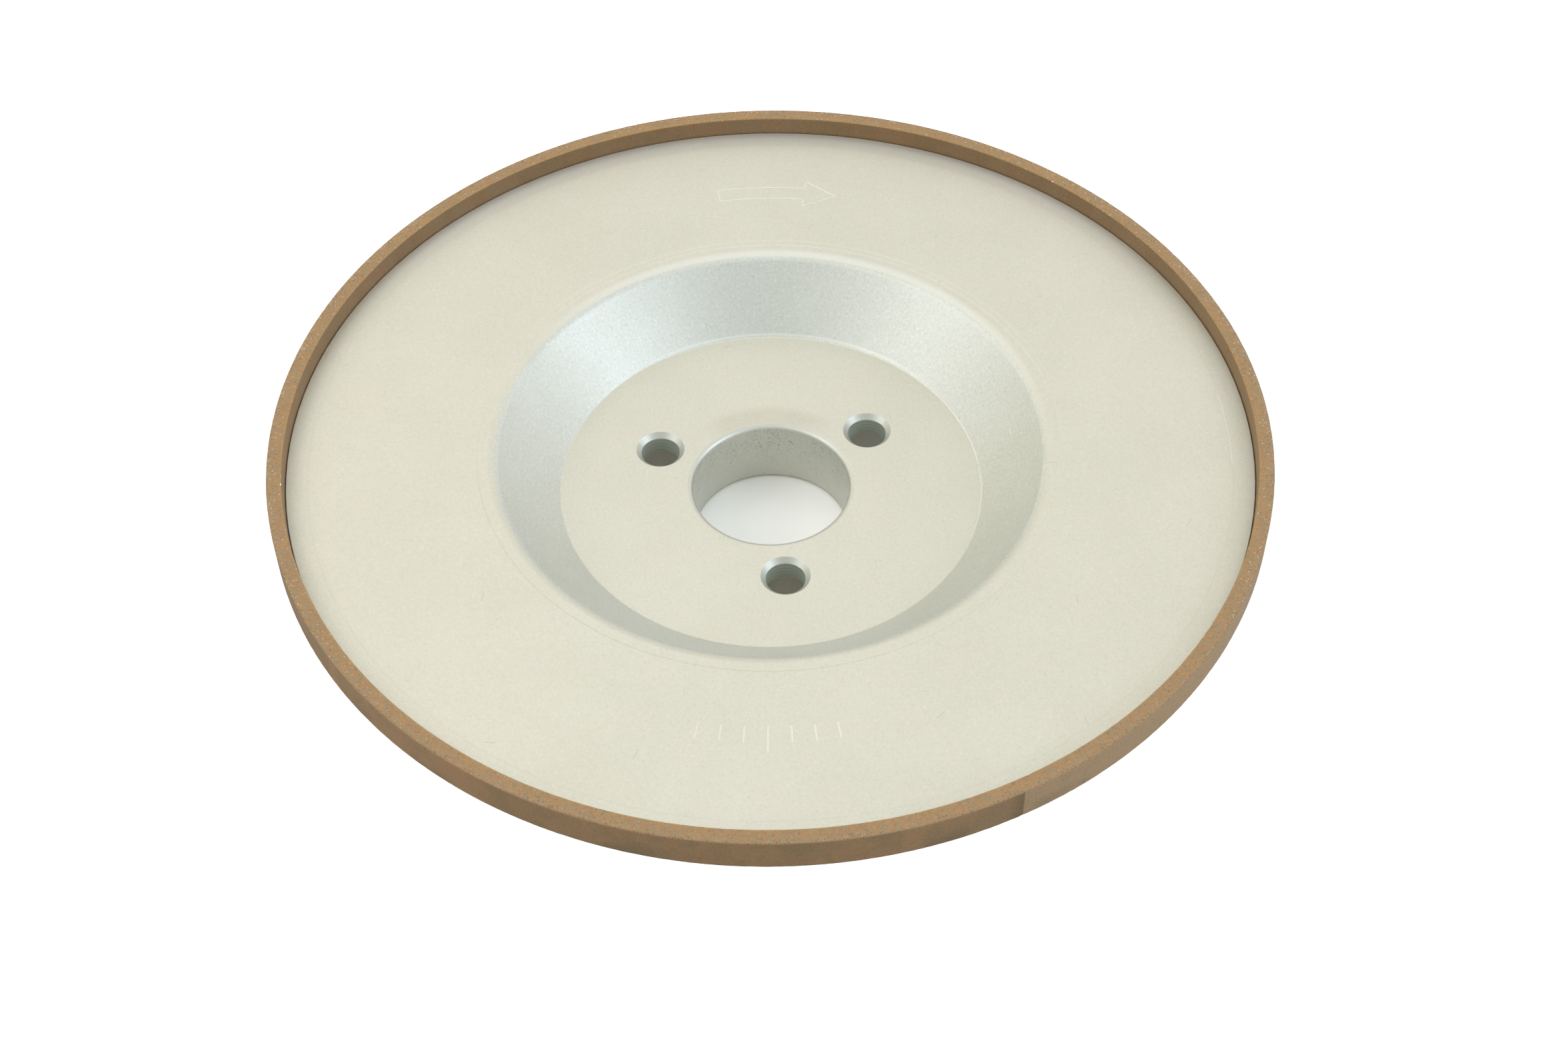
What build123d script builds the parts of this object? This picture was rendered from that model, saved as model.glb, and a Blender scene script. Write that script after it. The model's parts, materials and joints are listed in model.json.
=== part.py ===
from build123d import *
import math
import os

# Diamond grinding wheel: a dished, turned aluminium body with a narrow
# resin-bonded diamond ring glued around the edge of its face plate.
#
# Frame: millimetres. +Z is the spindle axis and points out of the abrasive
# face. Z = 0 is the free end of the hub boss, on which the wheel stands, and
# the origin is the centre of the bore there. One screw hole lies on -Y.

# ---------------------------------------------------------------- dimensions
# abrasive ring
WHEEL_DIAMETER = 200.0      # outside of the abrasive ring
RING_WIDTH = 3.0            # radial width of its working face
RING_HEIGHT = 7.25          # full height of its outer wall
RING_STAND_OUT = 4.15       # how far it stands above the face plate
RING_DRAFT = 0.2            # the inner wall closes in by this much to the seat
RING_EDGE = 0.12            # dressed edges of the ring

# whole wheel and hub
OVERALL_HEIGHT = 31.8       # boss end to the ring's working face
HUB_DEPTH = 15.15           # boss end to the hub face
BORE_DIAMETER = 32.0
BORE_LIP_ROUND = 1.2        # rounded lip where the bore meets the hub face
BOSS_DIAMETER = 41.0
BOSS_CHAMFER = 1.0
BORE_CHAMFER = 0.5          # at the boss end
WEB_THICKNESS = 5.0         # hub web around the boss

# dished front
HUB_FACE_RADIUS = 43.1      # flat hub face ends here, at the foot of the cone
CONE_RUN = 12.5             # the cone rises at 45 degrees, so run = rise
CONE_TOP_ROUND = 3.0        # rolled edge between cone and face plate
CONE_FOOT_ROUND = 0.4
STEP_RADIUS = 58.7          # faint turned step just outside the rolled edge
STEP_RUN = 0.3
STEP_HEIGHT = 0.06

# shell thicknesses and the back
PLATE_THICKNESS = 6.0       # face plate
CONE_WALL = 6.0             # measured square to the cone
BACK_CONE_ROUND = 4.0
BOSS_ROOT_ROUND = 2.0

# ring seat on the plate's edge
GLUE_GAP = 0.15
SEAT_SHOULDER_RADIUS = 98.8
SEAT_SHOULDER_LAND = 1.0
SEAT_GLUE_SETBACK = 0.10    # the glue line stops this far below the face

# engraved marks on the face plate: V-grooves cut by a pointed graver
GROOVE_WIDTH = 0.42
GROOVE_DEPTH = 0.08
GROOVE_OVERCUT = 0.3        # the cutters stand this far above the face
ARROW_RADIUS = 76.0         # outlined rotation arrow, curved about the spindle axis
ARROW_TIP_ANGLE = 72.5
ARROW_SWEEP = 19.5          # tip to tail
ARROW_HEAD_SWEEP = 5.2
ARROW_BODY_WIDTH = 3.6
ARROW_HEAD_WIDTH = 8.2
TICK_INNER_RADIUS = 71.5    # row of plain balance ticks, the middle one longer
TICK_LENGTH = 3.6
TICK_MIDDLE_LENGTH = 5.6
TICK_COUNT = 7
TICK_PITCH_ANGLE = 3.4
TICK_MIDDLE_ANGLE = -97.0

# screw holes
HOLE_CIRCLE_DIAMETER = 50.0
HOLE_DIAMETER = 8.0
HOLE_COUNT = 3
HOLE_FIRST_ANGLE = -90.0
HOLE_CHAMFER = 1.0          # front, 45 degrees
HOLE_BACK_CHAMFER = 0.3

# ------------------------------------------------------------ derived values
RING_OUTER_R = WHEEL_DIAMETER / 2
RING_INNER_TOP_R = RING_OUTER_R - RING_WIDTH
RING_INNER_SEAT_R = RING_INNER_TOP_R - RING_DRAFT
RING_TOP_Z = OVERALL_HEIGHT
RING_BOTTOM_Z = RING_TOP_Z - RING_HEIGHT
FACE_Z = RING_TOP_Z - RING_STAND_OUT
SEAT_R = RING_INNER_SEAT_R - GLUE_GAP
SEAT_Z = RING_BOTTOM_Z - GLUE_GAP
HUB_FACE_Z = HUB_DEPTH
INNER_FACE_Z = HUB_FACE_Z + CONE_RUN
CONE_TOP_R = HUB_FACE_RADIUS + CONE_RUN
WEB_BACK_Z = HUB_FACE_Z - WEB_THICKNESS
PLATE_BACK_Z = FACE_Z - PLATE_THICKNESS
OUTER_FACE_Z = INNER_FACE_Z + STEP_HEIGHT
BORE_R = BORE_DIAMETER / 2
BOSS_R = BOSS_DIAMETER / 2


# ------------------------------------------------------------------- helpers
def outline(points):
    """A flat closed outline in the radius-height plane, from (r, z) corners."""
    return Plane.XZ * make_face(Polyline(*points, close=True))


def round_corner(face, radius_at, height_at, round_radius):
    """Round the one corner of an outline that lies at (radius_at, height_at)."""
    place = Vector(radius_at, 0, height_at)
    corner = face.vertices().sort_by_distance(place)[0]
    return face.face().fillet_2d(round_radius, [corner])


def turned(face):
    """Revolve an outline about the spindle axis."""
    return revolve(face, Axis.Z, 360)


# ----------------------------------------------------------------- sub-parts
def body_outline():
    """Half section of the aluminium body, bore first, then round the front."""
    back_offset = CONE_WALL * 2 ** 0.5
    back_foot_r = HUB_FACE_RADIUS + back_offset - (HUB_FACE_Z - WEB_BACK_Z)
    back_top_r = back_foot_r + (PLATE_BACK_Z - WEB_BACK_Z)
    shoulder_z = SEAT_Z - SEAT_SHOULDER_LAND
    bevel = shoulder_z - PLATE_BACK_Z
    points = [
        (BORE_R, BORE_CHAMFER),
        (BORE_R, HUB_FACE_Z),
        (HUB_FACE_RADIUS, HUB_FACE_Z),
        (CONE_TOP_R, INNER_FACE_Z),
        (STEP_RADIUS, INNER_FACE_Z),
        (STEP_RADIUS + STEP_RUN, OUTER_FACE_Z),
        (SEAT_R, OUTER_FACE_Z),
        (SEAT_R, SEAT_Z),
        (SEAT_SHOULDER_RADIUS, SEAT_Z),
        (SEAT_SHOULDER_RADIUS, shoulder_z),
        (SEAT_SHOULDER_RADIUS - bevel, PLATE_BACK_Z),
        (back_top_r, PLATE_BACK_Z),
        (back_foot_r, WEB_BACK_Z),
        (BOSS_R, WEB_BACK_Z),
        (BOSS_R, BOSS_CHAMFER),
        (BOSS_R - BOSS_CHAMFER, 0),
        (BORE_R + BORE_CHAMFER, 0),
    ]
    face = outline(points)
    face = round_corner(face, BORE_R, HUB_FACE_Z, BORE_LIP_ROUND)
    face = round_corner(face, HUB_FACE_RADIUS, HUB_FACE_Z, CONE_FOOT_ROUND)
    face = round_corner(face, CONE_TOP_R, INNER_FACE_Z, CONE_TOP_ROUND)
    face = round_corner(face, back_top_r, PLATE_BACK_Z, BACK_CONE_ROUND)
    face = round_corner(face, back_foot_r, WEB_BACK_Z, BACK_CONE_ROUND)
    face = round_corner(face, BOSS_R, WEB_BACK_Z, BOSS_ROOT_ROUND)
    return face


def screw_hole_cutter():
    """One screw hole with its chamfers, centred on the Z axis."""
    hole_r = HOLE_DIAMETER / 2
    front_r = hole_r + HOLE_CHAMFER
    back_r = hole_r + HOLE_BACK_CHAMFER
    drill = Pos(0, 0, WEB_BACK_Z + WEB_THICKNESS / 2) * Cylinder(hole_r, WEB_THICKNESS + 2)
    front_z = HUB_FACE_Z - HOLE_CHAMFER / 2
    front = Pos(0, 0, front_z) * Cone(hole_r, front_r, HOLE_CHAMFER)
    back_z = WEB_BACK_Z + HOLE_BACK_CHAMFER / 2
    back = Pos(0, 0, back_z) * Cone(back_r, hole_r, HOLE_BACK_CHAMFER)
    return drill + front + back


def groove_section(middle):
    """V-shaped cutter section, upright in the XZ plane, with its middle at X = middle."""
    widen = 1 + GROOVE_OVERCUT / GROOVE_DEPTH
    half_width = GROOVE_WIDTH / 2 * widen
    points = [
        (middle, OUTER_FACE_Z - GROOVE_DEPTH),
        (middle + half_width, OUTER_FACE_Z + GROOVE_OVERCUT),
        (middle - half_width, OUTER_FACE_Z + GROOVE_OVERCUT),
    ]
    return outline(points)


def curved_groove(radius, start_angle, sweep):
    """Groove along an arc about the spindle axis."""
    return Rot(0, 0, start_angle) * revolve(groove_section(radius), Axis.Z, sweep)


def straight_groove(start, end):
    """Groove between two (radius, angle) places, each end run on by half its width."""
    first = Vector(start[0], 0, 0).rotate(Axis.Z, start[1])
    last = Vector(end[0], 0, 0).rotate(Axis.Z, end[1])
    run = last - first
    direction = math.degrees(math.atan2(run.Y, run.X))
    cutter = extrude(groove_section(0), amount=-(run.length + GROOVE_WIDTH))
    cutter = Pos(0, -GROOVE_WIDTH / 2, 0) * cutter
    return Pos(first.X, first.Y, 0) * Rot(0, 0, direction - 90) * cutter


def arrow_cutters():
    """Outlined rotation arrow: two curved sides, a tail end and a pointed head."""
    neck_angle = ARROW_TIP_ANGLE + ARROW_HEAD_SWEEP
    tail_angle = ARROW_TIP_ANGLE + ARROW_SWEEP
    tip = (ARROW_RADIUS, ARROW_TIP_ANGLE)
    tail_inside = (ARROW_RADIUS - ARROW_BODY_WIDTH / 2, tail_angle)
    tail_outside = (ARROW_RADIUS + ARROW_BODY_WIDTH / 2, tail_angle)
    cutters = [straight_groove(tail_inside, tail_outside)]
    for side in (-1, 1):
        body_r = ARROW_RADIUS + side * ARROW_BODY_WIDTH / 2
        barb_r = ARROW_RADIUS + side * ARROW_HEAD_WIDTH / 2
        cutters.append(curved_groove(body_r, neck_angle, tail_angle - neck_angle))
        cutters.append(straight_groove((body_r, neck_angle), (barb_r, neck_angle)))
        cutters.append(straight_groove((barb_r, neck_angle), tip))
    return cutters


def tick_cutters():
    """Evenly spaced radial ticks, with the middle one longer."""
    cutters = []
    middle = TICK_COUNT // 2
    for number in range(TICK_COUNT):
        angle = TICK_MIDDLE_ANGLE + (number - middle) * TICK_PITCH_ANGLE
        length = TICK_MIDDLE_LENGTH if number == middle else TICK_LENGTH
        start = (TICK_INNER_RADIUS, angle)
        cutters.append(straight_groove(start, (TICK_INNER_RADIUS + length, angle)))
    return cutters


def wheel_body():
    """Turned aluminium body with three chamfered screw holes and engraved marks."""
    body = turned(body_outline())
    places = PolarLocations(HOLE_CIRCLE_DIAMETER / 2, HOLE_COUNT, HOLE_FIRST_ANGLE)
    for place in places:
        body -= place * screw_hole_cutter()
    for cutter in arrow_cutters() + tick_cutters():
        body -= cutter
    return body


def diamond_ring():
    """Resin-bonded abrasive ring: straight outside, slight draft inside."""
    points = [
        (RING_INNER_SEAT_R, RING_BOTTOM_Z),
        (RING_INNER_SEAT_R, FACE_Z),
        (RING_INNER_TOP_R, RING_TOP_Z),
        (RING_OUTER_R, RING_TOP_Z),
        (RING_OUTER_R, RING_BOTTOM_Z),
    ]
    face = outline(points)
    face = round_corner(face, RING_INNER_TOP_R, RING_TOP_Z, RING_EDGE)
    face = round_corner(face, RING_OUTER_R, RING_TOP_Z, RING_EDGE)
    face = round_corner(face, RING_OUTER_R, RING_BOTTOM_Z, RING_EDGE)
    return turned(face)


def ring_bond():
    """Glue film between ring and body: up the plate's edge and on the shoulder."""
    top_z = FACE_Z - SEAT_GLUE_SETBACK
    points = [
        (SEAT_R, SEAT_Z),
        (SEAT_SHOULDER_RADIUS, SEAT_Z),
        (SEAT_SHOULDER_RADIUS, RING_BOTTOM_Z),
        (RING_INNER_SEAT_R, RING_BOTTOM_Z),
        (RING_INNER_SEAT_R, top_z),
        (SEAT_R, top_z),
    ]
    return turned(outline(points))


# --------------------------------------------------------------------- write
def write_parts():
    os.makedirs("parts", exist_ok=True)
    export_step(wheel_body(), "parts/wheel_body.step")
    export_step(diamond_ring(), "parts/diamond_ring.step")
    export_step(ring_bond(), "parts/ring_bond.step")


write_parts()
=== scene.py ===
import json
import math
import bpy
import bmesh
from mathutils import Matrix, Vector, noise


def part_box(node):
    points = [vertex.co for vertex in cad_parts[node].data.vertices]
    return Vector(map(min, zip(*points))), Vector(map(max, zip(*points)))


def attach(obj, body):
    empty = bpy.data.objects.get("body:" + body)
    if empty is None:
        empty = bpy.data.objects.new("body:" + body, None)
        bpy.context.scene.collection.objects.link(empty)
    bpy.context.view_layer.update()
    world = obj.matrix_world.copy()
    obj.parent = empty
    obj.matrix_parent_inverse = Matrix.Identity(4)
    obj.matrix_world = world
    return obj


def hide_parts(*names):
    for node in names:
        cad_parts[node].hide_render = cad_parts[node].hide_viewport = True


# Looks for the diamond grinding wheel: a dished, bead-blasted aluminium body
# with a brown resin-bonded diamond ring around its edge. Lengths are in metres,
# except where a name ends in _MM or a comment says millimetres. The spindle axis
# is the Z axis.

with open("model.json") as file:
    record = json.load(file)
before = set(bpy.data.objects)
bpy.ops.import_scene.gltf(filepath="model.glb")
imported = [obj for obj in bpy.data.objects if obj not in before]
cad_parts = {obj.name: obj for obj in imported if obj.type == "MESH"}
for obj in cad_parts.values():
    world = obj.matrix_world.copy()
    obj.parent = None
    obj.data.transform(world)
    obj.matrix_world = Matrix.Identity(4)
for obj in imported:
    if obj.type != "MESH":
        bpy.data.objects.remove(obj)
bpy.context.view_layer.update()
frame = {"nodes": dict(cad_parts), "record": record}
MM = 0.001

# ------------------------------------------------------------ camera and light
CAMERA_LENS_MM = 56.17
CAMERA_SENSOR_MM = 36.0
CAMERA_DISTANCE = 0.4895
CAMERA_ELEVATION = 46.03
CAMERA_AZIMUTH = -6.0
CAMERA_ROLL = -0.56
CAMERA_AIM_RIGHT = 0.0024
CAMERA_AIM_NEAR = 0.02565

FLOOR_SIZE = 8.0
WORLD_COLOR = (0.975, 1.000, 0.997)
WORLD_STRENGTH = 0.73
# name: (azimuth, elevation, distance, width, height, power, colour); azimuth 0 is
# the camera's side of the wheel and grows to its right
LIGHTS = {
    "overhead": (0.0, 90.0, 1.60, 1.60, 1.60, 4.1, (0.92, 1.0, 0.91)),
    "left": (-76.0, 42.0, 1.10, 0.60, 0.60, 3.4, (0.98, 0.96, 1.0)),
    "right": (74.0, 28.0, 1.10, 0.60, 0.60, 4.9, (0.75, 0.84, 1.0)),
    "far_left_low": (-135.0, 28.0, 1.10, 0.60, 0.60, 1.1, (1.0, 0.82, 0.46)),
    "far_left_high": (-135.0, 48.0, 1.10, 0.60, 0.60, 0.6, (0.88, 0.88, 1.0)),
    "far_right": (135.0, 28.0, 1.10, 0.60, 0.60, 1.3, (1.0, 0.87, 0.83)),
    "far": (180.0, 50.0, 1.10, 0.60, 0.60, 0.7, (0.94, 0.97, 1.0)),
}

# --------------------------------------------------------------- surface detail
BUMP_STRENGTH = 0.6
TURNING_PITCH_MM = 0.6      # spacing of the lathe marks on the back
RING_SEGMENTS = 1440
RING_STEP = 0.0004          # spacing of the rows across the ring's section
RING_EDGE_ROUND = 0.00018   # how far the rows stay away from the section's corners
RING_EDGE_BREAK = 0.00012   # the CAD ring's top edges are rounded by this much
TOP_GRIT_DEPTH = 0.00007    # how deep the dressed face's grit relief goes
SKIN_RELIEF = 0.00003       # relief of the moulded skin
EDGE_CRUMBLE = 0.00010      # how far the sharp edges are crumbled away
EDGE_REACH = 0.0005         # width of the crumbled strip along an edge
# small chips in the ring's inner top edge: angle in degrees, size in millimetres
CHIPS = [(-178.0, 0.34), (43.5, 0.30), (34.0, 0.22), (-179.3, 0.20), (36.2, 0.18)]
CHIP_DEPTH = 0.00016
SEAM_ANGLE = -70.0          # degrees about the spindle
SEAM_DEPTH = 0.00006
SEAM_WIDTH = 0.0007
FINE_GRIT_PER_MM = 1.7      # how closely the bumps of each relief follow each other
COARSE_GRIT_PER_MM = 0.45
CRUMBS_PER_MM = 0.9
CRUMBS_OFFSET = Vector((9.0, 4.0, 2.0))


# --------------------------------------------------------------- sizes in frame
def mount(name):
    """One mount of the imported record, by name."""
    return next(m for m in frame["record"]["mounts"] if m["name"] == name)


RING_LOW, RING_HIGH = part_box("diamond_ring")
RING_OUTER_R = RING_HIGH.x
RING_TOP_Z = RING_HIGH.z
RING_BOTTOM_Z = RING_LOW.z
FACE_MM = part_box("wheel_body")[1].z / MM
HUB_MM = mount("hub_face")["pos_m"][2] / MM
BORE_MM = mount("bore")["dims"]["r_mm"]


def inner_radius(node, above):
    """Smallest radius of a CAD node's points that lie above a height."""
    points = frame["nodes"][node].data.vertices
    return min(math.hypot(p.co.x, p.co.y) for p in points if p.co.z > above)


RING_SEAT_R = inner_radius("diamond_ring", RING_BOTTOM_Z - MM)
RING_TOP_INNER_R = inner_radius("diamond_ring", RING_TOP_Z - 0.02 * MM) - RING_EDGE_BREAK


# ---------------------------------------------------- where the features lie
# Three numbers are a band: from, to, and the softness of its edges. Two numbers
# are a step: 0 at the first, 1 at the second. Names in _R and _Z here are radii
# and heights in millimetres, names in _TURN are angles about the spindle in degrees.
CONE_R = (43.3, 55.6, 0.5)
CONE_Z = (HUB_MM + 0.10, 27.2, 0.3)
CONE_FOOT_R = (43.40, 43.60, 0.2)
CONE_FOOT_Z = (HUB_MM + 0.15, HUB_MM + 0.65, 0.2)
CONE_FOOT_TURN = (58.0, 96.0, 30.0)
HOLE_CHAMFER_R = (20.0, 30.0, 0.2)
HOLE_CHAMFER_Z = (HUB_MM - 0.97, HUB_MM - 0.07, 0.05)
HOLE_WALL_R = (20.7, 29.3, 0.1)
HOLE_WALL_Z = (10.3, HUB_MM - 1.10, 0.12)
BORE_LIP_R = (BORE_MM + 0.10, BORE_MM + 0.95, 0.12)
BORE_LIP_Z = (13.9, 14.2)
BORE_WALL_R = (BORE_MM + 0.20, BORE_MM + 0.02)
BORE_FOOT_Z = (1.1, 0.4)
BORE_PITS_Z = (3.0, 12.0)
FRONT_Z = (26.6, 26.9)
ENGRAVED_R = (59.2, 59.4)
ENGRAVED_Z = (27.2, 27.4)
GROOVE_Z = (FACE_MM - 0.01, FACE_MM - 0.05)
ROLLED_EDGE_R = (55.9, 57.2, 0.5)
TOOL_LINE_R = (60.12, 60.32, 0.22)
FAR_EDGE_TURN = (40.0, 112.0, 38.0)
RUB_R = (17.4, 20.0, 3.0)
RUB_Z = (HUB_MM - 0.15, HUB_MM + 0.15, 0.1)
RUB_TURN = (65.0, 105.0, 28.0)
FAR_RIM_R = (92.6, 95.4)
FAR_RIM_TURN = (45.0, 125.0, 30.0)
RIM_LINE_R = (92.42, 92.52, 0.16)
RIM_LINE_Z = (27.0, 27.5)
SCRATCH_R = (92.22, 92.36, 0.05)
SCRATCH_TURN = (-10.7, 0.9, 0.6)
BACK_R = (21.0, 21.4)
GOLDEN_R = (97.42, 97.12)
OUTER_STRIP_R = (98.4, 99.4)
GLINTLESS_SIDE_TURN = (-135.0, -52.0, 32.0)
OUTER_WALL_R = (99.5, 99.7)
SEAM_TURN = (SEAM_ANGLE - 2.2, SEAM_ANGLE, 0.10)
AFTER_SEAM_TURN = (SEAM_ANGLE - 0.1, SEAM_ANGLE)
LIGHTER_END_TURN = (SEAM_ANGLE + 95.0, SEAM_ANGLE + 50.0)
OPEN_FLOOR_R = (42.0, 62.0)


# ---------------------------------------------------------------------- colours
def rgb(red, green, blue):
    """A colour as the nodes take it, linear and opaque."""
    return (red, green, blue, 1.0)


FLAT_DARKER = rgb(0.638, 0.614, 0.518)
FLAT_LIGHTER = rgb(0.656, 0.632, 0.536)
FLAT_ROSY = rgb(0.672, 0.626, 0.546)
CONE_DARKER = rgb(0.590, 0.602, 0.542)
CONE_LIGHTER = rgb(0.612, 0.626, 0.570)
LIGHT_GRAIN = rgb(0.82, 0.82, 0.78)
DARK_GRAIN = rgb(0.42, 0.42, 0.39)
CHAMFER_COLOR = rgb(0.475, 0.500, 0.460)
BORE_LIP_COLOR = rgb(0.530, 0.545, 0.495)
ROLLED_EDGE_PAINTED_HIGHLIGHT = rgb(0.720, 0.725, 0.680)
PALE_LINE = rgb(0.82, 0.82, 0.77)
CONE_FOOT_PAINTED_HIGHLIGHT = rgb(0.84, 0.86, 0.78)
RUB_MARK = rgb(0.47, 0.42, 0.34)
FAR_RIM_PAINTED_LIGHT = rgb(0.84, 0.85, 0.84)
BORE_WALL_COLOR = rgb(0.612, 0.616, 0.556)
BORE_FOOT_PAINTED_SHADOW = rgb(0.25, 0.25, 0.22)
BORE_PIT = rgb(0.17, 0.17, 0.15)
BORE_PALE = rgb(0.82, 0.84, 0.80)
HOLE_WALL_PAINTED_LIGHT = rgb(0.700, 0.770, 0.690)
HOLE_WALL_BAND = rgb(0.24, 0.26, 0.22)
DUST_COLOR = rgb(0.22, 0.19, 0.16)
FIBRE_COLOR = rgb(0.25, 0.20, 0.17)
RIM_LINE_COLOR = rgb(0.42, 0.42, 0.38)
SCRATCH_COLOR = rgb(0.95, 0.94, 0.88)
TURNING_MARK = rgb(0.36, 0.36, 0.34)
RESIN_GRIT_DARK = rgb(0.110, 0.068, 0.033)
RESIN_GRIT_LIGHT = rgb(0.45, 0.33, 0.20)
FACE_TAN_DARKER = rgb(0.318, 0.199, 0.102)
FACE_TAN_LIGHTER = rgb(0.350, 0.212, 0.100)
FACE_GREEN = rgb(0.258, 0.222, 0.138)
FACE_ORANGE = rgb(0.420, 0.220, 0.092)
FACE_EDGE_PAINTED_HIGHLIGHT = rgb(0.43, 0.268, 0.086)
FACE_OUTER_COLOR = rgb(0.300, 0.225, 0.140)
FACE_DARK_GRAIN = rgb(0.13, 0.085, 0.045)
FACE_GRIT_PAINTED_GLINT = rgb(0.61, 0.55, 0.45)
INNER_WALL_DARKER = rgb(0.210, 0.133, 0.066)
INNER_WALL_LIGHTER = rgb(0.238, 0.144, 0.074)
OUTER_WALL_DARKER = rgb(0.284, 0.184, 0.098)
OUTER_WALL_LIGHTER = rgb(0.334, 0.206, 0.108)
WALL_CLOUD = rgb(0.205, 0.155, 0.090)
WALL_PATCH = rgb(0.215, 0.150, 0.080)
WALL_BESIDE_SEAM_AND_PAINTED_LIGHT = rgb(0.430, 0.305, 0.185)
WALL_GREEN = rgb(0.150, 0.125, 0.068)
WALL_SEAM = rgb(0.115, 0.085, 0.043)
WALL_GRIT_POINT = rgb(0.50, 0.42, 0.30)
FRESH_CHIP = rgb(0.86, 0.84, 0.74)
EPOXY_DARKER = rgb(0.10, 0.065, 0.04)
EPOXY_LIGHTER = rgb(0.20, 0.14, 0.09)
FLOOR_COLOR = rgb(0.42, 0.40, 0.36)
FLOOR_UNDER_HUB = rgb(0.93, 0.925, 0.89)
FLOOR_SHADE = rgb(0.80, 0.80, 0.77)
WHITE = rgb(1.0, 1.0, 1.0)


# ----------------------------------------------------------------- node helpers
class Nodes:
    """Short calls for building one material's node tree."""

    def __init__(self, name):
        self.material = bpy.data.materials.new(name)
        self.material.use_nodes = True
        self.tree = self.material.node_tree
        self.tree.nodes.clear()

    def new(self, kind, **settings):
        node = self.tree.nodes.new(kind)
        for key, value in settings.items():
            setattr(node, key, value)
        return node

    def put(self, socket, value):
        """Link a socket into this one, or set it to a plain value."""
        if isinstance(value, bpy.types.NodeSocket):
            self.tree.links.new(value, socket)
        else:
            socket.default_value = value

    def math(self, operation, a, b=0.0, c=0.0):
        node = self.new("ShaderNodeMath", operation=operation)
        self.put(node.inputs[0], a)
        self.put(node.inputs[1], b)
        self.put(node.inputs[2], c)
        return node.outputs[0]

    def times(self, *factors):
        """The product of two or more values."""
        product = factors[0]
        for factor in factors[1:]:
            product = self.math("MULTIPLY", product, factor)
        return product

    def ramp(self, value, slope, base):
        """The base plus the slope times the value."""
        return self.math("MULTIPLY_ADD", value, slope, base)

    def vector(self, operation, a, b=(0.0, 0.0, 0.0), scale=1.0):
        node = self.new("ShaderNodeVectorMath", operation=operation)
        self.put(node.inputs[0], a)
        if operation == "SCALE":
            self.put(node.inputs["Scale"], scale)
        else:
            self.put(node.inputs[1], b)
        return node.outputs["Value" if operation == "LENGTH" else "Vector"]

    def step(self, value, low, high):
        """0 below low, 1 above high, smooth between; high may be under low."""
        node = self.new("ShaderNodeMapRange", interpolation_type="SMOOTHSTEP")
        self.put(node.inputs["Value"], value)
        if high >= low:
            ends = (low, high, 0.0, 1.0)
        else:
            ends = (high, low, 1.0, 0.0)
        for socket, end in zip(node.inputs[1:5], ends):
            socket.default_value = end
        return node.outputs["Result"]

    def band(self, value, low, high, soft):
        """1 between low and high, 0 outside, with soft edges."""
        rise = self.step(value, low - soft, low)
        fall = self.step(value, high + soft, high)
        return self.times(rise, fall)

    def noise(self, vector, scale, detail, roughness):
        """Smooth random values around 0.5; scale is per millimetre."""
        node = self.new("ShaderNodeTexNoise")
        self.put(node.inputs["Vector"], vector)
        node.inputs["Scale"].default_value = scale
        node.inputs["Detail"].default_value = detail
        node.inputs["Roughness"].default_value = roughness
        return node.outputs["Fac"]

    def cells(self, vector, scale):
        """Voronoi cells: a node with a distance, a random colour and a position."""
        node = self.new("ShaderNodeTexVoronoi", feature="F1")
        self.put(node.inputs["Vector"], vector)
        node.inputs["Scale"].default_value = scale
        return node

    def mix(self, share, a, b):
        """The colour a turned into b by a share from 0 to 1."""
        node = self.new("ShaderNodeMix", data_type="RGBA")
        self.put(node.inputs["Factor"], share)
        self.put(node.inputs["A"], a)
        self.put(node.inputs["B"], b)
        return node.outputs["Result"]

    def bump(self, height, distance):
        node = self.new("ShaderNodeBump")
        self.put(node.inputs["Height"], height)
        node.inputs["Distance"].default_value = distance
        node.inputs["Strength"].default_value = BUMP_STRENGTH
        return node.outputs["Normal"]

    def split(self, vector):
        """The x, y and z outputs of a vector, or the red, green and blue of a colour."""
        return self.new_linked("ShaderNodeSeparateXYZ", vector).outputs

    def new_linked(self, kind, value):
        node = self.new(kind)
        self.put(node.inputs[0], value)
        return node

    def place_mm(self):
        """Object coordinates in millimetres, with radius, angle in degrees and height."""
        coordinates = self.new("ShaderNodeTexCoord").outputs["Object"]
        place = self.vector("SCALE", coordinates, scale=1 / MM)
        x, y, z = self.split(place)
        squares = self.math("ADD", self.times(x, x), self.times(y, y))
        radius = self.math("SQRT", squares)
        turn = self.math("ARCTAN2", y, x)
        angle = self.times(turn, 180 / math.pi)
        return place, radius, angle, z

    def surface(self, color, roughness, normal, **others):
        """Principled shader to the output; others are further sockets, with _ for a space."""
        shader = self.new("ShaderNodeBsdfPrincipled")
        self.put(shader.inputs["Base Color"], color)
        self.put(shader.inputs["Roughness"], roughness)
        if normal is not None:
            self.put(shader.inputs["Normal"], normal)
        for name, value in others.items():
            self.put(shader.inputs[name.replace("_", " ")], value)
        output = self.new("ShaderNodeOutputMaterial")
        self.tree.links.new(shader.outputs["BSDF"], output.inputs["Surface"])
        return self.material


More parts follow.
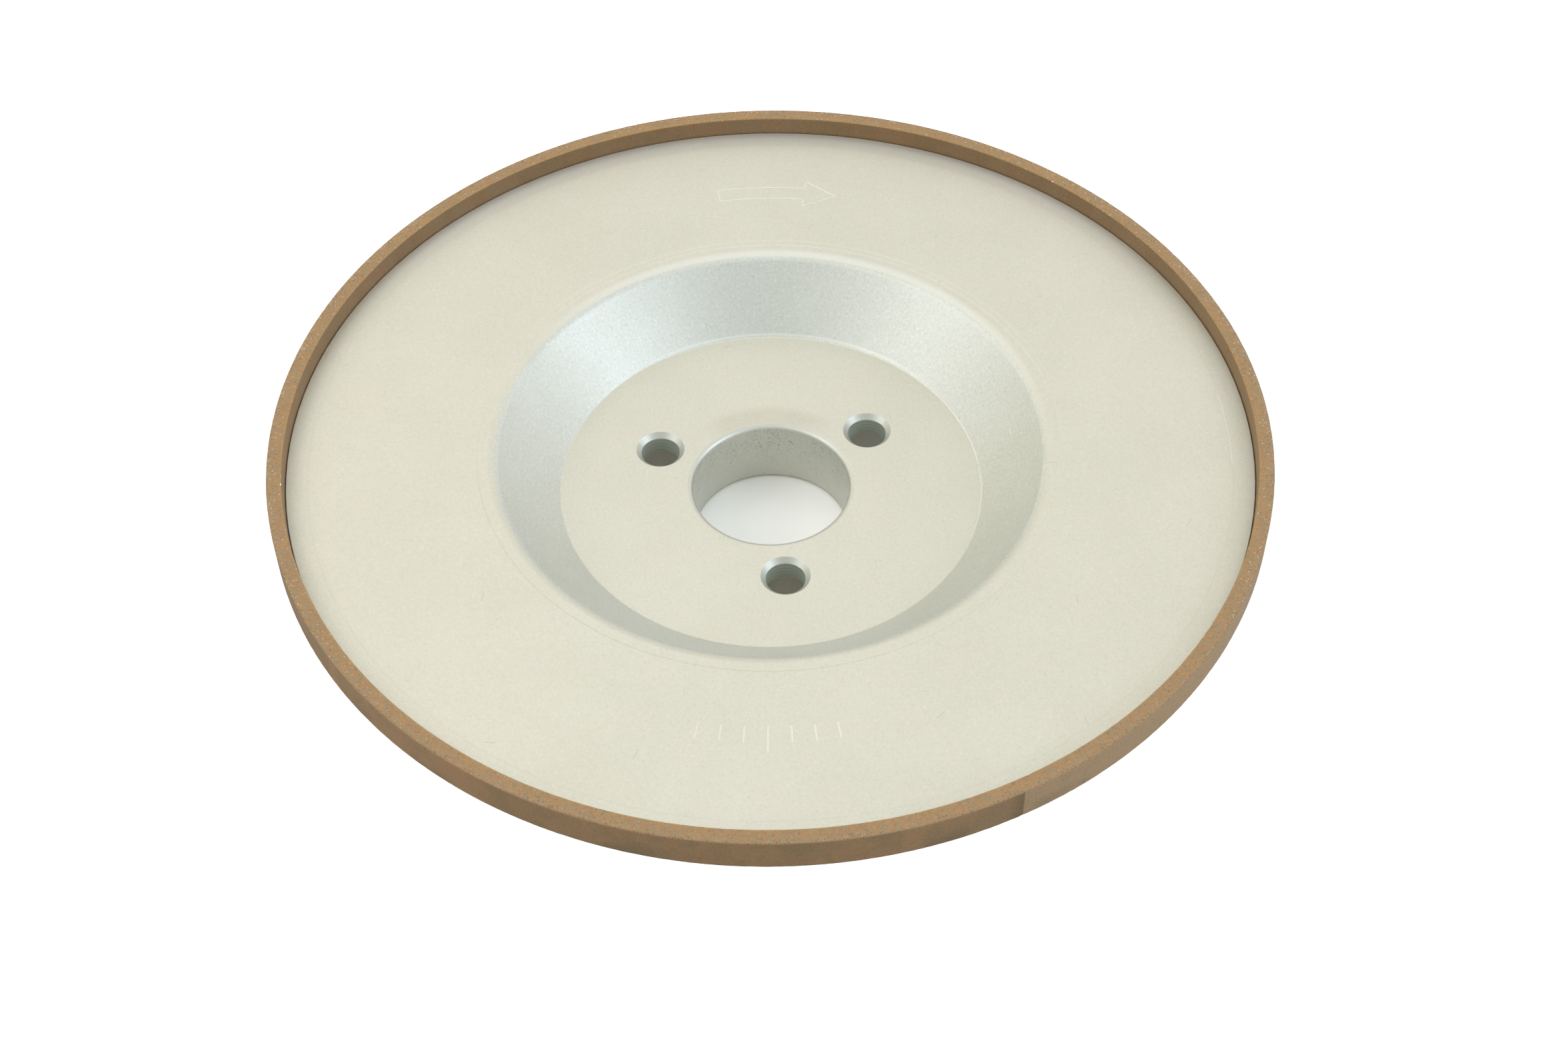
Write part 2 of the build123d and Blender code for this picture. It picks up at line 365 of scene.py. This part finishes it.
# -------------------------------------------------------------------- materials
def aluminium():
    """Bead-blasted aluminium: warm matt flats, a cooler coarser cone, smoother cut edges; the warm
    and cool tints are partly painted light.
    """
    n = Nodes("blasted_aluminium_look")
    place, radius, angle, height = n.place_mm()

    cloud = n.noise(place, 0.05, 3.0, 0.55)
    tint = n.noise(n.vector("ADD", place, (31.0, 17.0, 5.0)), 0.13, 2.0, 0.5)
    grain = n.noise(place, 1.9, 3.0, 0.75)
    fine = n.noise(place, 4.2, 2.0, 0.7)

    # Partly painted light: the flats' warm tint stands for warm light from above, and the cone's
    # cool tint for cooler light on its slope; the rest is their own finish.
    warm = n.mix(n.step(cloud, 0.3, 0.7), FLAT_DARKER, FLAT_LIGHTER)
    warm = n.mix(n.times(n.step(tint, 0.50, 0.75), 0.4), warm, FLAT_ROSY)
    cool = n.mix(n.step(cloud, 0.3, 0.7), CONE_DARKER, CONE_LIGHTER)
    cone = n.times(n.band(radius, *CONE_R), n.band(height, *CONE_Z))
    color = n.mix(cone, warm, cool)

    light_grain = n.times(n.step(grain, 0.52, 0.74), n.ramp(cone, 0.19, 0.26))
    color = n.mix(light_grain, color, LIGHT_GRAIN)
    dark_grain = n.times(n.step(grain, 0.48, 0.28), n.ramp(cone, 0.20, 0.24))
    color = n.mix(dark_grain, color, DARK_GRAIN)

    color, edges = cut_edges(n, radius, height, color)
    color = engraving_and_painted_highlights(n, radius, angle, height, color)
    color = rub_mark_and_painted_rim_light(n, place, radius, angle, height, color)
    color, pits = bore_wall(n, place, radius, height, color)
    color = hole_walls(n, place, radius, height, color)
    color = dust(n, place, color)
    color, turning = turned_lines(n, radius, angle, height, color)

    roughness = n.ramp(fine, 0.18, 0.48)
    roughness = n.ramp(edges, -0.06, roughness)
    relief = n.ramp(grain, 0.8, n.times(fine, 0.4))
    relief = n.times(relief, n.ramp(cone, 0.35, 0.65))
    relief = n.math("ADD", n.math("SUBTRACT", relief, pits), turning)
    normal = n.bump(relief, 0.00003)
    return n.surface(color, roughness, normal, Metallic=0.92)


def cut_edges(n, radius, height, color):
    """Chamfers of the screw holes and the rounded lip of the bore: cooler and smoother."""
    chamfers = n.times(n.band(radius, *HOLE_CHAMFER_R), n.band(height, *HOLE_CHAMFER_Z))
    lip = n.times(n.band(radius, *BORE_LIP_R), n.step(height, *BORE_LIP_Z))
    color = n.mix(n.times(chamfers, 0.70), color, CHAMFER_COLOR)
    color = n.mix(n.times(lip, 0.65), color, BORE_LIP_COLOR)
    return color, n.math("MAXIMUM", chamfers, lip)


def engraving_and_painted_highlights(n, radius, angle, height, color):
    """Paler lines: the engraving, and painted highlights on the far side's rolled edge, the tool
    line beside it and the cone's foot.
    """
    front = n.step(height, *FRONT_Z)
    far_front = n.times(n.band(angle, *FAR_EDGE_TURN), front)
    # Painted highlight: the rolled edge is coloured paler on the far side only.
    rolled = n.times(n.band(radius, *ROLLED_EDGE_R), far_front)
    color = n.mix(n.times(rolled, 0.45), color, ROLLED_EDGE_PAINTED_HIGHLIGHT)
    # The tool line is a real mark; its paler colour on the far side only is a painted highlight.
    tool_line_painted_highlight = n.times(n.band(radius, *TOOL_LINE_R), far_front)
    color = n.mix(n.times(tool_line_painted_highlight, 0.15), color, PALE_LINE)
    # Painted highlight: a pale line along the cone's foot, on the far side only.
    foot_turn = n.band(angle, *CONE_FOOT_TURN)
    foot = n.times(n.band(radius, *CONE_FOOT_R), n.band(height, *CONE_FOOT_Z), foot_turn)
    color = n.mix(n.times(foot, 0.34), color, CONE_FOOT_PAINTED_HIGHLIGHT)
    plate = n.times(n.step(radius, *ENGRAVED_R), n.step(height, *ENGRAVED_Z))
    groove = n.times(n.step(height, *GROOVE_Z), plate)
    return n.mix(n.times(groove, 0.35), color, PALE_LINE)


def rub_mark_and_painted_rim_light(n, place, radius, angle, height, color):
    """A faint brown rub mark beside the bore, and painted light along the far rim, where the ring
    wall's shade falls on the face.
    """
    hub = n.times(n.band(radius, *RUB_R), n.band(height, *RUB_Z))
    uneven = n.ramp(n.noise(place, 0.30, 3.0, 0.6), 0.8, 0.3)
    rub = n.times(hub, n.band(angle, *RUB_TURN), uneven)
    color = n.mix(n.times(rub, 0.36), color, RUB_MARK)
    # Painted light: the face is coloured paler along the far rim to lift the shade cast by the ring
    # wall beside it.
    rim = n.times(n.step(radius, *FAR_RIM_R), n.step(height, *FRONT_Z), n.band(angle, *FAR_RIM_TURN))
    return n.mix(n.times(rim, 0.48), color, FAR_RIM_PAINTED_LIGHT)


def bore_wall(n, place, radius, height, color):
    """Bore wall: cool dull grey, with a painted shadow at its foot, and fine pits under its front
    lip.
    """
    wall = n.step(radius, *BORE_WALL_R)
    color = n.mix(n.times(wall, 0.85), color, BORE_WALL_COLOR)
    # Painted shadow: the lowest part of the wall, where it meets the floor, is darkened.
    foot = n.times(wall, n.step(height, *BORE_FOOT_Z))
    color = n.mix(n.times(foot, 0.45), color, BORE_FOOT_PAINTED_SHADOW)
    upper = n.ramp(n.step(height, *BORE_PITS_Z), 0.7, 0.3)
    where = n.times(wall, upper)
    cluster = n.step(n.noise(place, 0.40, 2.0, 0.5), 0.42, 0.64)
    speckle = n.noise(place, 2.6, 3.0, 0.8)
    fleck = n.times(n.step(speckle, 0.53, 0.64), n.ramp(cluster, 0.60, 0.32))
    pits = n.times(fleck, where)
    color = n.mix(n.times(pits, 0.72), color, BORE_PIT)
    pale = n.times(n.step(speckle, 0.42, 0.30), wall)
    return n.mix(n.times(pale, 0.28), color, BORE_PALE), pits


def hole_walls(n, place, radius, height, color):
    """Drilled walls of the screw holes: a paler, greener grey as painted light reaching into the
    holes, with soft darker bands round them.
    """
    ring_of_holes = n.band(radius, *HOLE_WALL_R)
    below_chamfer = n.times(ring_of_holes, n.band(height, *HOLE_WALL_Z))
    rings = n.new("ShaderNodeTexWave", wave_type="BANDS", bands_direction="Z")
    n.put(rings.inputs["Vector"], place)
    rings.inputs["Scale"].default_value = 0.36
    rings.inputs["Distortion"].default_value = 1.6
    # Painted light: the walls are coloured paler than the metal to stand for light reaching into the
    # holes.
    color = n.mix(n.times(below_chamfer, 0.85), color, HOLE_WALL_PAINTED_LIGHT)
    shade = n.times(rings.outputs["Fac"], 0.30)
    return n.mix(n.times(below_chamfer, shade), color, HOLE_WALL_BAND)


def dust(n, place, color):
    """Sparse dark dust specks and a few short curved fibres."""
    cells = n.cells(place, 0.060)
    pick, size, _ = n.split(cells.outputs["Color"])
    wanted = n.math("GREATER_THAN", pick, 0.55)
    reach = n.ramp(size, 0.012, 0.008)
    speck = n.math("LESS_THAN", cells.outputs["Distance"], reach)
    color = n.mix(n.times(speck, wanted, 0.40), color, DUST_COLOR)
    return n.mix(n.times(fibres(n, place), 0.22), color, FIBRE_COLOR)


def fibres(n, place):
    """Mask of short curved hair-thin fibres, one in some of the cells of a grid."""
    cells = n.cells(place, 0.036)
    pick, turn, bend = n.split(cells.outputs["Color"])
    offset = n.vector("SUBTRACT", place, cells.outputs["Position"])
    rotate = n.new("ShaderNodeVectorRotate", rotation_type="Z_AXIS")
    n.put(rotate.inputs["Vector"], offset)
    n.put(rotate.inputs["Angle"], n.times(turn, 2 * math.pi))
    along, across, _ = n.split(rotate.outputs["Vector"])
    curve = n.ramp(bend, 0.5, -0.1)
    sag = n.times(curve, n.times(along, along))
    away = n.math("ABSOLUTE", n.math("SUBTRACT", across, sag))
    line = n.step(away, 0.14, 0.04)
    short = n.math("LESS_THAN", n.math("ABSOLUTE", along), 1.1)
    wanted = n.math("GREATER_THAN", pick, 0.70)
    return n.times(line, short, wanted)


def turned_lines(n, radius, angle, height, color):
    """Faint line near the rim with a bright scratch on it, and fine turning on the back."""
    front = n.step(height, *RIM_LINE_Z)
    rim_line = n.times(n.band(radius, *RIM_LINE_R), front)
    color = n.mix(n.times(rim_line, 0.11), color, RIM_LINE_COLOR)
    scratch = n.times(n.band(radius, *SCRATCH_R), n.band(angle, *SCRATCH_TURN))
    color = n.mix(n.times(scratch, 0.25), color, SCRATCH_COLOR)
    facing = n.split(n.new("ShaderNodeTexCoord").outputs["Normal"])[2]
    back = n.times(n.step(facing, -0.5, -0.8), n.step(radius, *BACK_R))
    ridges = n.math("SINE", n.times(radius, 2 * math.pi / TURNING_PITCH_MM))
    uneven = n.noise(n.new_linked("ShaderNodeCombineXYZ", radius).outputs[0], 1.3, 2.0, 0.6)
    turning = n.times(ridges, uneven, back)
    dark = n.times(n.step(turning, 0.10, 0.45), 0.16)
    return n.mix(dark, color, TURNING_MARK), turning


def resin_abrasive():
    """Brown phenolic resin with fine grit: grainy dressed face, satin moulded skin."""
    n = Nodes("resin_abrasive_look")
    place, radius, angle, height = n.place_mm()
    top_mm = RING_TOP_Z / MM
    bottom_mm = RING_BOTTOM_Z / MM
    face = n.step(height, top_mm - 0.30, top_mm - 0.16)

    patch = n.noise(place, 0.30, 3.0, 0.6)
    grit = n.noise(place, 2.6, 3.0, 0.75)
    skin = skin_color(n, place, radius, angle, height, bottom_mm, patch)
    top, sparkle = face_color(n, place, radius, angle, patch)
    color = n.mix(face, skin, top)
    gritty = n.times(n.step(grit, 0.50, 0.30), n.ramp(face, 0.02, 0.40))
    color = n.mix(gritty, color, RESIN_GRIT_DARK)
    bright = n.times(n.step(grit, 0.56, 0.74), n.ramp(face, 0.06, 0.26))
    color = n.mix(bright, color, RESIN_GRIT_LIGHT)
    color = chip_marks(n, place, color)

    sparkle = n.times(sparkle, face)
    roughness = n.ramp(face, 0.25, 0.45)
    relief = n.times(grit, n.ramp(face, 0.7, 0.25))
    normal = n.bump(n.math("ADD", relief, sparkle), 0.00008)
    return n.surface(color, roughness, normal, Metallic=0.0, Specular_IOR_Level=0.15)


def face_color(n, place, radius, angle, patch):
    """Dressed working face: tan resin mottled green and orange, with a painted highlight along its
    inner edge and painted glints on its pale grit, weaker on one side.
    """
    blot = n.noise(n.vector("ADD", place, (7.0, 3.0, 11.0)), 0.75, 3.0, 0.65)
    color = n.mix(n.step(patch, 0.35, 0.65), FACE_TAN_DARKER, FACE_TAN_LIGHTER)
    color = n.mix(n.times(n.step(blot, 0.50, 0.62), 0.58), color, FACE_GREEN)
    color = n.mix(n.times(n.step(blot, 0.44, 0.32), 0.38), color, FACE_ORANGE)
    # Painted highlight: a golden line along the face's inner edge.
    painted_edge_highlight = n.step(radius, *GOLDEN_R)
    color = n.mix(n.times(painted_edge_highlight, 0.36), color, FACE_EDGE_PAINTED_HIGHLIGHT)
    outer = n.step(radius, *OUTER_STRIP_R)
    color = n.mix(n.times(outer, 0.22), color, FACE_OUTER_COLOR)
    cells = n.cells(place, 2.2)
    pick = n.split(cells.outputs["Color"])[0]
    light = n.math("GREATER_THAN", pick, n.ramp(outer, -0.15, 0.93))
    dark = n.math("LESS_THAN", pick, n.ramp(outer, 0.20, 0.04))
    dot = n.step(cells.outputs["Distance"], 0.48, 0.22)
    color = n.mix(n.times(dot, dark, 0.55), color, FACE_DARK_GRAIN)
    sparkle = n.times(dot, light)
    # Painted glints: the pale grit points are coloured brighter, and less so over one stretch near
    # the front.
    dull = n.band(angle, *GLINTLESS_SIDE_TURN)
    painted_glint = n.times(sparkle, n.ramp(dull, -0.38, 0.60))
    return n.mix(painted_glint, color, FACE_GRIT_PAINTED_GLINT), sparkle


def skin_color(n, place, radius, angle, height, bottom_mm, patch):
    """Moulded skin: brown with faint bands and clouds, a seam, a few pale grit points; the darker
    inner wall is partly painted shade, the lighter wall after the seam partly painted light.
    """
    upright = n.new("ShaderNodeMapping")
    n.put(upright.inputs["Vector"], place)
    upright.inputs["Scale"].default_value = (1.0, 1.0, 0.18)
    bands = n.noise(upright.outputs["Vector"], 0.11, 3.0, 0.6)
    outside = n.step(radius, *OUTER_WALL_R)
    # Partly painted shade: the inner wall is coloured darker than the outer one, for the shade where
    # it faces into the dish.
    inner = n.mix(n.step(bands, 0.34, 0.68), INNER_WALL_DARKER, INNER_WALL_LIGHTER)
    outer = n.mix(n.step(bands, 0.34, 0.68), OUTER_WALL_DARKER, OUTER_WALL_LIGHTER)
    color = n.mix(outside, inner, outer)
    cloudy = n.step(n.noise(place, 0.14, 3.0, 0.6), 0.46, 0.62)
    color = n.mix(n.times(cloudy, 0.34), color, WALL_CLOUD)
    color = n.mix(n.times(n.step(patch, 0.50, 0.72), 0.30), color, WALL_PATCH)
    # Partly painted light: after the real change at the seam, the outer wall is coloured lighter,
    # fading out, for light falling on that side.
    after_seam = n.step(angle, *AFTER_SEAM_TURN)
    lighter = n.times(after_seam, n.step(angle, *LIGHTER_END_TURN), outside)
    color = n.mix(n.times(lighter, 0.62), color, WALL_BESIDE_SEAM_AND_PAINTED_LIGHT)
    blot = n.step(n.noise(place, 0.08, 2.0, 0.5), 0.50, 0.68)
    low = n.step(height, bottom_mm + 4.5, bottom_mm + 0.8)
    green = n.times(blot, low, outside)
    color = n.mix(n.times(green, 0.45), color, WALL_GREEN)
    seam = n.band(angle, *SEAM_TURN)
    fade = n.step(angle, *SEAM_TURN[:2])
    seam = n.times(seam, fade, outside)
    color = n.mix(n.times(seam, 0.55), color, WALL_SEAM)
    cells = n.cells(place, 1.9)
    pick = n.split(cells.outputs["Color"])[0]
    dot = n.step(cells.outputs["Distance"], 0.20, 0.08)
    point = n.times(dot, n.math("GREATER_THAN", pick, 0.93))
    return n.mix(n.times(point, 0.55), color, WALL_GRIT_POINT)


def at(radius, angle, height):
    """The point at a radius, an angle in radians and a height."""
    return Vector((radius * math.cos(angle), radius * math.sin(angle), height))


def chip_centre(angle):
    """Centre of a chip in the ring's inner top edge, in millimetres."""
    return at(RING_TOP_INNER_R, math.radians(angle), RING_TOP_Z) / MM


def chip_marks(n, place, color):
    """The pale fresh surface inside each chip of the ring's inner top edge."""
    for angle, size in CHIPS:
        away = n.vector("LENGTH", n.vector("SUBTRACT", place, tuple(chip_centre(angle))))
        inside = n.step(away, size * 1.1, size * 0.6)
        color = n.mix(n.times(inside, 0.9), color, FRESH_CHIP)
    return color


def adhesive():
    """Cured dark epoxy, only a hair line where the ring meets the plate."""
    n = Nodes("adhesive_look")
    place, _, _, _ = n.place_mm()
    lumps = n.noise(place, 0.8, 3.0, 0.6)
    color = n.mix(lumps, EPOXY_DARKER, EPOXY_LIGHTER)
    roughness = n.ramp(lumps, 0.3, 0.25)
    return n.surface(color, roughness, n.bump(lumps, 0.0001), Metallic=0.0)


def floor_look():
    """Plain pale studio floor that shows as white paper, except under the wheel's hub."""
    n = Nodes("floor_look")
    place, radius, _, _ = n.place_mm()
    open_floor = n.step(radius, *OPEN_FLOOR_R)
    color = n.mix(open_floor, FLOOR_UNDER_HUB, FLOOR_COLOR)
    shade = n.noise(place, 0.004, 2.0, 0.5)
    color = n.mix(n.times(shade, 0.10), color, FLOOR_SHADE)
    seen = n.new("ShaderNodeLightPath").outputs["Is Camera Ray"]
    glow = n.times(open_floor, seen)
    return n.surface(color, 0.8, None, Metallic=0.0, Emission_Color=WHITE,
                     Emission_Strength=glow)


# ------------------------------------------------------------------- ring piece
def ring_section():
    """The ring's outline as (radius, height, part) rows, evenly spaced, closed."""
    inner_top = (RING_TOP_INNER_R, RING_TOP_Z)
    outer_top = (RING_OUTER_R, RING_TOP_Z)
    outer_low = (RING_OUTER_R, RING_BOTTOM_Z)
    inner_low = (RING_SEAT_R, RING_BOTTOM_Z)
    corners = [inner_low, inner_top, outer_top, outer_low]
    parts = ["inner", "face", "outer", "under"]
    rows = []
    for number, part in enumerate(parts):
        start, end = corners[number], corners[(number + 1) % 4]
        rows += edge_rows(start, end, part)
    return rows


def edge_rows(start, end, part):
    """Rows along one side of the section, set in from both of its corners."""
    length = math.dist(start, end)
    count = max(2, round((length - 2 * RING_EDGE_ROUND) / RING_STEP))
    rows = []
    for number in range(count + 1):
        inset = RING_EDGE_ROUND + (length - 2 * RING_EDGE_ROUND) * number / count
        share = inset / length
        radius = start[0] + (end[0] - start[0]) * share
        height = start[1] + (end[1] - start[1]) * share
        rows.append((radius, height, part))
    return rows


INWARD = {"inner": (1.0, 0.0), "face": (0.0, -1.0), "outer": (-1.0, 0.0), "under": (0.0, 1.0)}
RELIEF = {"inner": SKIN_RELIEF, "face": TOP_GRIT_DEPTH, "outer": SKIN_RELIEF, "under": 0.0}


def sunk(radius, height, part, angle):
    """How deep the surface lies below the ideal ring at one point."""
    place = at(radius, angle, height) / MM
    fine = 0.5 + 0.5 * noise.noise(place * FINE_GRIT_PER_MM)
    coarse = 0.5 + 0.5 * noise.noise(place * COARSE_GRIT_PER_MM)
    depth = RELIEF[part] * (0.7 * fine + 0.3 * coarse)
    if part == "outer":
        depth += seam_depth(angle)
    return depth


def seam_depth(angle):
    """A shallow upright groove in the outer wall, where the mould halves met."""
    away = abs(angle - math.radians(SEAM_ANGLE)) * RING_OUTER_R
    return SEAM_DEPTH * max(0.0, 1.0 - away / SEAM_WIDTH)


def crumble(radius, height, angle):
    """Extra depth near the ring's sharp edges, where small bits have broken out."""
    near_top = max(0.0, 1 - (RING_TOP_Z - height) / EDGE_REACH)
    near_low = max(0.0, 1 - (height - RING_BOTTOM_Z) / EDGE_REACH)
    near_out = max(0.0, 1 - (RING_OUTER_R - radius) / EDGE_REACH)
    near_in = max(0.0, 1 - (radius - RING_TOP_INNER_R) / EDGE_REACH)
    edge = max(near_top, near_low) * max(near_out, near_in)
    place = at(radius, angle, height) / MM
    rough = 0.5 + 0.5 * noise.noise(place * CRUMBS_PER_MM + CRUMBS_OFFSET)
    return EDGE_CRUMBLE * edge * rough * rough + chip_depth(place)


def chip_depth(place):
    """Extra depth inside the chips of the inner top edge; place is in millimetres."""
    deepest = 0.0
    for angle, size in CHIPS:
        share = max(0.0, 1.0 - (place - chip_centre(angle)).length / size)
        deepest = max(deepest, CHIP_DEPTH * share)
    return deepest


def diamond_ring():
    """The abrasive ring as a fine mesh with grit relief and crumbled edges."""
    rows = ring_section()
    points = []
    for segment in range(RING_SEGMENTS):
        angle = 2 * math.pi * segment / RING_SEGMENTS
        if angle > math.pi:
            angle -= 2 * math.pi
        for radius, height, part in rows:
            depth = sunk(radius, height, part, angle) + crumble(radius, height, angle)
            toward = INWARD[part]
            points.append(at(radius + toward[0] * depth, angle, height + toward[1] * depth))
    count = len(rows)
    faces = []
    for segment in range(RING_SEGMENTS):
        here = segment * count
        there = (segment + 1) % RING_SEGMENTS * count
        for row in range(count):
            after = (row + 1) % count
            faces.append((here + row, here + after, there + after, there + row))
    mesh = bpy.data.meshes.new("diamond_ring_detailed")
    mesh.from_pydata(points, [], faces)
    mesh.validate()
    outward(mesh)
    mesh.polygons.foreach_set("use_smooth", [True] * len(mesh.polygons))
    mesh.materials.append(resin_abrasive())
    piece = bpy.data.objects.new("diamond_ring_detailed", mesh)
    bpy.context.scene.collection.objects.link(piece)
    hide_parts("diamond_ring")
    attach(piece, "root")
    return piece


def outward(mesh):
    """Point every face of a closed mesh outward."""
    work = bmesh.new()
    work.from_mesh(mesh)
    bmesh.ops.recalc_face_normals(work, faces=work.faces)
    work.to_mesh(mesh)
    work.free()


def dress(node, material):
    """Give a carried-over CAD node its finished material."""
    mesh = frame["nodes"][node].data
    for number in range(len(mesh.materials)):
        mesh.materials[number] = material


# ------------------------------------------------------------------------ stage
def floor():
    """The plain square floor that the wheel's back rests on."""
    mesh = bpy.data.meshes.new("floor")
    half = FLOOR_SIZE / 2
    corners = [(-half, -half, 0.0), (half, -half, 0.0), (half, half, 0.0), (-half, half, 0.0)]
    mesh.from_pydata(corners, [], [(0, 1, 2, 3)])
    mesh.materials.append(floor_look())
    piece = bpy.data.objects.new("floor", mesh)
    bpy.context.scene.collection.objects.link(piece)


def around(azimuth, elevation, distance):
    """A point around the wheel's centre; azimuth 0 is toward the camera."""
    turn = math.radians(azimuth + CAMERA_AZIMUTH)
    rise = math.radians(elevation)
    flat = distance * math.cos(rise)
    return Vector((flat * math.sin(turn), -flat * math.cos(turn), distance * math.sin(rise)))


def studio_light(name, azimuth, elevation, distance, width, height, power, color):
    """One large soft rectangular light, aimed at the wheel."""
    data = bpy.data.lights.new(name, "AREA")
    data.shape = "RECTANGLE"
    data.size = width
    data.size_y = height
    data.energy = power
    data.color = color
    light = bpy.data.objects.new(name, data)
    light.location = around(azimuth, elevation, distance)
    light.rotation_mode = "QUATERNION"
    light.rotation_quaternion = (-light.location).to_track_quat("-Z", "Y")
    bpy.context.scene.collection.objects.link(light)


def studio():
    """The lights, a pale world that shows as white, and the plain view transform."""
    world = bpy.data.worlds.new("studio")
    world.use_nodes = True
    background = world.node_tree.nodes["Background"]
    background.inputs["Color"].default_value = (*WORLD_COLOR, 1.0)
    light_path = world.node_tree.nodes.new("ShaderNodeLightPath")
    strength = world.node_tree.nodes.new("ShaderNodeMapRange")
    strength.inputs["To Min"].default_value = WORLD_STRENGTH
    world.node_tree.links.new(light_path.outputs["Is Camera Ray"], strength.inputs["Value"])
    world.node_tree.links.new(strength.outputs["Result"], background.inputs["Strength"])
    bpy.context.scene.world = world
    for name, settings in LIGHTS.items():
        studio_light(name, *settings)
    bpy.context.scene.view_settings.view_transform = "Standard"


def camera():
    """The camera at the wheel's near side, looking down on its working face."""
    data = bpy.data.cameras.new("camera")
    data.lens = CAMERA_LENS_MM
    data.sensor_width = CAMERA_SENSOR_MM
    data.clip_start = 0.01
    data.clip_end = 20.0
    turn = Matrix.Rotation(math.radians(CAMERA_AZIMUTH), 3, "Z")
    top = Vector((0.0, 0.0, RING_TOP_Z))
    rise = math.radians(CAMERA_ELEVATION)
    away = Vector((0.0, -math.cos(rise), math.sin(rise))) * CAMERA_DISTANCE
    aim = Vector((CAMERA_AIM_RIGHT, -CAMERA_AIM_NEAR, 0.0))
    forward = turn @ (aim - away)
    forward.normalize()
    right = forward.cross(Vector((0.0, 0.0, 1.0))).normalized()
    up = right.cross(forward)
    roll = math.radians(CAMERA_ROLL)
    right_rolled = right * math.cos(roll) + up * math.sin(roll)
    up_rolled = up * math.cos(roll) - right * math.sin(roll)
    facing = Matrix((right_rolled, up_rolled, -forward)).transposed()
    eye = bpy.data.objects.new("camera", data)
    eye.matrix_world = Matrix.Translation(top + turn @ away) @ facing.to_4x4()
    bpy.context.scene.collection.objects.link(eye)
    bpy.context.scene.camera = eye


# ------------------------------------------------------------------------- make
camera()
studio()
floor()
dress("wheel_body", aluminium())
dress("ring_bond", adhesive())
diamond_ring()
